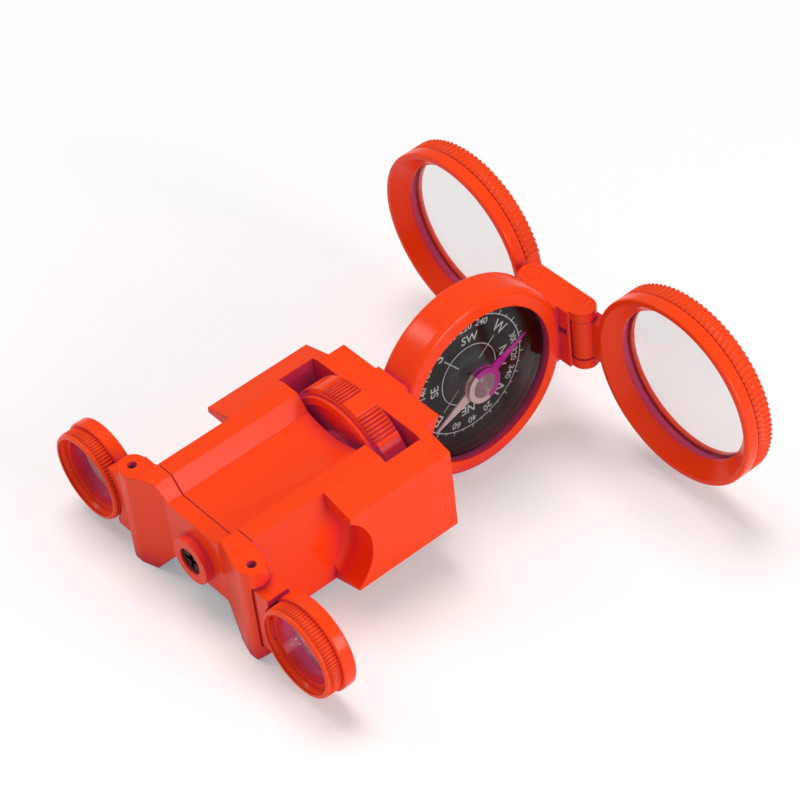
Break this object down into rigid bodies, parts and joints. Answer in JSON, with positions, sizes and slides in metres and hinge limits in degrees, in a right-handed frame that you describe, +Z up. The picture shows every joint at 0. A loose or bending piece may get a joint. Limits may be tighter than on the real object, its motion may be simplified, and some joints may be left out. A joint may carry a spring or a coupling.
{
  "type": "folding field glass with compass",
  "caption": "Pocket folding field glass: hinged lens rings on a body with a focusing thumb wheel, and a round compass standing on edge between the objectives.",
  "frame": {"origin": "middle of the overall length, midway between the two optical axes and at their height", "axes": "+X is the direction of view, from the eyepieces to the objectives; +Y is to the user's left; +Z is up"},
  "size_m": [0.0976, 0.1024, 0.0406],
  "materials": {
    "orange_plastic": "glossy moulded orange-red plastic",
    "black_plastic": "glossy black plastic",
    "dial_print": "matt black dial with white printing",
    "clear_plastic": "clear moulded plastic",
    "lens_glass": "clear polished lens",
    "steel": "plain steel",
    "needle_magenta": "magenta paint on steel",
    "needle_white": "pale paint on steel",
    "needle_hub": "smoky clear bearing cap"
  },
  "bodies": {
    "body": {"main_body": "orange_plastic", "compass_frame": "orange_plastic", "frame_screws": "steel", "objective_hinge_pins": "orange_plastic", "compass_cup": "black_plastic", "compass_dial": "dial_print", "compass_cover": "clear_plastic", "pivot_pin": "steel"},
    "focus_wheel": {"focus_wheel": "orange_plastic"},
    "carriage": {"eyepiece_bar": "orange_plastic", "focus_rod": "black_plastic", "eyepiece_hinge_pins": "steel"},
    "right_eyepiece": {"right_eyepiece_holder": "orange_plastic", "right_eyepiece_collar": "orange_plastic", "right_eyepiece_lens": "lens_glass"},
    "left_eyepiece": {"left_eyepiece_holder": "orange_plastic", "left_eyepiece_collar": "orange_plastic", "left_eyepiece_lens": "lens_glass"},
    "right_objective": {"right_objective_holder": "orange_plastic", "right_objective_bezel": "orange_plastic", "right_objective_lens": "lens_glass"},
    "left_objective": {"left_objective_holder": "orange_plastic", "left_objective_bezel": "orange_plastic", "left_objective_lens": "lens_glass"},
    "needle": {"needle_north": "needle_magenta", "needle_south": "needle_white", "needle_hub": "needle_hub"}
  },
  "joints": [
    {"name": "focus_turn", "type": "hinge", "parent": "body", "child": "focus_wheel", "pos_m": [-0.00915, 0, 0], "axis": [1, 0, 0], "range_deg": [0, 360]},
    {"name": "focus_slide", "type": "slide", "parent": "body", "child": "carriage", "axis": [-1, 0, 0], "range_m": [0, 0.008]},
    {"name": "right_eyepiece_fold", "type": "hinge", "parent": "carriage", "child": "right_eyepiece", "pos_m": [-0.04595, -0.0175, 0], "axis": [0, 0, 1], "range_deg": [0, 90]},
    {"name": "left_eyepiece_fold", "type": "hinge", "parent": "carriage", "child": "left_eyepiece", "pos_m": [-0.04595, 0.0175, 0], "axis": [0, 0, -1], "range_deg": [0, 90]},
    {"name": "right_objective_fold", "type": "hinge", "parent": "body", "child": "right_objective", "pos_m": [0.04265, -0.0069, 0], "axis": [0, 0, -1], "range_deg": [0, 90]},
    {"name": "left_objective_fold", "type": "hinge", "parent": "body", "child": "left_objective", "pos_m": [0.04265, 0.0069, 0], "axis": [0, 0, 1], "range_deg": [0, 90]},
    {"name": "needle_swing", "type": "hinge", "parent": "body", "child": "needle", "pos_m": [0.01965, 0, 0], "axis": [0, -1, 0], "continuous": true}
  ],
  "couplings": [
    {"joint": "focus_slide", "follows": "focus_turn", "m_per_rad": 0.0012732}
  ]
}
